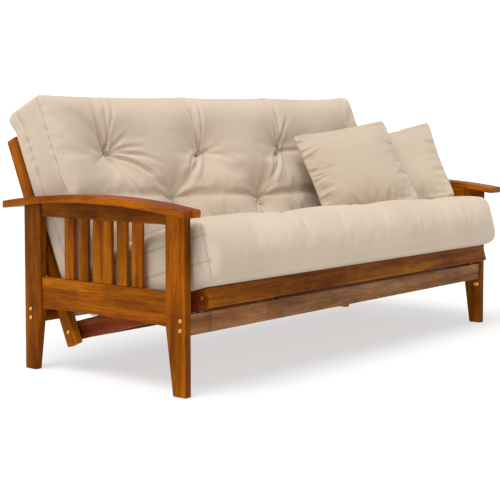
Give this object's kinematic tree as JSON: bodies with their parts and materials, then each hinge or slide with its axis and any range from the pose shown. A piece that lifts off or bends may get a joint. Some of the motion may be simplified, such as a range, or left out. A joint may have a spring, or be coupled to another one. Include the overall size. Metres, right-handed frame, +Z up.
{
  "type": "futon sofa bed",
  "caption": "Wooden futon sofa bed with arched slatted arms, a folding seat and back deck, a tufted folded mattress and two loose square pillows.",
  "frame": {"origin": "on the floor, under the middle of the whole object", "axes": "+X along the sofa's length, to the right as seen from the front; +Y to the rear; +Z up"},
  "size_m": [2.128, 1.03, 1.0016],
  "materials": {
    "honey_wood": "satin lacquer over a honey-brown stain, with grain",
    "red_brown_wood": "satin lacquer over a red-brown stain",
    "pinkish_wood": "satin lacquer over a pinkish-brown stain",
    "dark_wood": "dark stained",
    "brass": "brushed",
    "nylon": "moulded",
    "mattress_cover": "woven cotton twill",
    "pillow_cover": "woven cotton twill"
  },
  "bodies": {
    "frame": {"apron_left": "honey_wood", "apron_right": "honey_wood", "arm_slat_left_1": "honey_wood", "arm_slat_left_2": "honey_wood", "arm_slat_left_3": "honey_wood", "arm_slat_left_4": "honey_wood", "arm_slat_left_5": "honey_wood", "arm_slat_right_1": "honey_wood", "arm_slat_right_2": "honey_wood", "arm_slat_right_3": "honey_wood", "arm_slat_right_4": "honey_wood", "arm_slat_right_5": "honey_wood", "armrest_left": "red_brown_wood", "armrest_right": "red_brown_wood", "front_stretcher": "pinkish_wood", "leg_cap_left": "brass", "leg_cap_right": "brass", "leg_front_left": "honey_wood", "leg_front_right": "honey_wood", "leg_rear_left": "honey_wood", "leg_rear_right": "honey_wood", "lower_rail_left": "honey_wood", "lower_rail_right": "honey_wood", "rear_stretcher": "honey_wood", "stretcher_bolt_front_left_lower": "brass", "stretcher_bolt_front_left_upper": "brass", "stretcher_bolt_front_right_lower": "brass", "stretcher_bolt_front_right_upper": "brass", "stretcher_bolt_rear_left_lower": "brass", "stretcher_bolt_rear_left_upper": "brass", "stretcher_bolt_rear_right_lower": "brass", "stretcher_bolt_rear_right_upper": "brass"},
    "seat_saddle": {"seat_saddle_left": "nylon", "seat_saddle_right": "nylon"},
    "seat_deck": {"pivot_bolt_left": "brass", "pivot_bolt_right": "brass", "seat_corner_bolt_left": "brass", "seat_corner_bolt_right": "brass", "seat_front_rail": "honey_wood", "seat_rear_rail": "honey_wood", "seat_side_board_left": "honey_wood", "seat_side_board_right": "honey_wood", "seat_slats": "honey_wood", "seat_stop_strip": "dark_wood"},
    "back_deck": {"back_bottom_rail": "honey_wood", "back_side_board_left": "honey_wood", "back_side_board_right": "honey_wood", "back_slats": "honey_wood", "back_top_rail": "honey_wood", "roller_bolt_left": "brass", "roller_bolt_right": "brass"},
    "roller_left": {"roller_left": "nylon"},
    "roller_right": {"roller_right": "nylon"},
    "mattress_seat": {"mattress_seat": "mattress_cover"},
    "mattress_back": {"mattress_back": "mattress_cover"},
    "pillow_inner": {"pillow_inner": "pillow_cover"},
    "pillow_outer": {"pillow_outer": "pillow_cover"}
  },
  "joints": [
    {"name": "seat_tilt", "type": "hinge", "parent": "frame", "child": "seat_saddle", "pos_m": [0, -0.4111, 0.2745], "axis": [1, 0, 0], "range_deg": [0, 15.5]},
    {"name": "seat_slide", "type": "slide", "parent": "seat_saddle", "child": "seat_deck", "axis": [0, -0.9636, 0.2672], "range_m": [0, 0.32]},
    {"name": "back_fold", "type": "hinge", "parent": "seat_deck", "child": "back_deck", "pos_m": [0, 0.18195, 0.14532], "axis": [-1, 0, 0], "range_deg": [0, 81.5]},
    {"name": "mattress_slide", "type": "slide", "parent": "seat_deck", "child": "mattress_seat", "axis": [0, 0.9636, -0.2672], "range_m": [0, 0.11546]},
    {"name": "mattress_fold", "type": "hinge", "parent": "mattress_seat", "child": "mattress_back", "pos_m": [0, 0.1065, 0.3053], "axis": [-1, 0, 0], "range_deg": [0, 81.5]},
    {"name": "roller_left_spin", "type": "hinge", "parent": "back_deck", "child": "roller_left", "pos_m": [-0.96665, 0.23483, 0.26408], "axis": [1, 0, 0], "continuous": true},
    {"name": "roller_right_spin", "type": "hinge", "parent": "back_deck", "child": "roller_right", "pos_m": [0.96665, 0.23483, 0.26408], "axis": [1, 0, 0], "continuous": true},
    {"name": "pillow_inner_settle", "type": "hinge", "parent": "mattress_back", "child": "pillow_inner", "pos_m": [0.34592, 0.00161, 1.09734], "axis": [0.4939, 0.8681, 0.0502], "range_deg": [0, 56.67]},
    {"name": "pillow_outer_settle", "type": "hinge", "parent": "mattress_back", "child": "pillow_outer", "pos_m": [0.5785, -0.05148, 0.79579], "axis": [0.4851, 0.2688, 0.8321], "range_deg": [0, 55.14]}
  ],
  "couplings": [
    {"joint": "seat_tilt", "follows": "back_fold", "ratio": 0.19018},
    {"joint": "seat_slide", "follows": "back_fold", "m_per_rad": 0.22496},
    {"joint": "mattress_slide", "follows": "back_fold", "m_per_rad": 0.08117},
    {"joint": "mattress_fold", "follows": "back_fold", "ratio": 1},
    {"joint": "pillow_inner_settle", "follows": "back_fold", "ratio": 0.69536},
    {"joint": "pillow_outer_settle", "follows": "back_fold", "ratio": 0.67655}
  ]
}
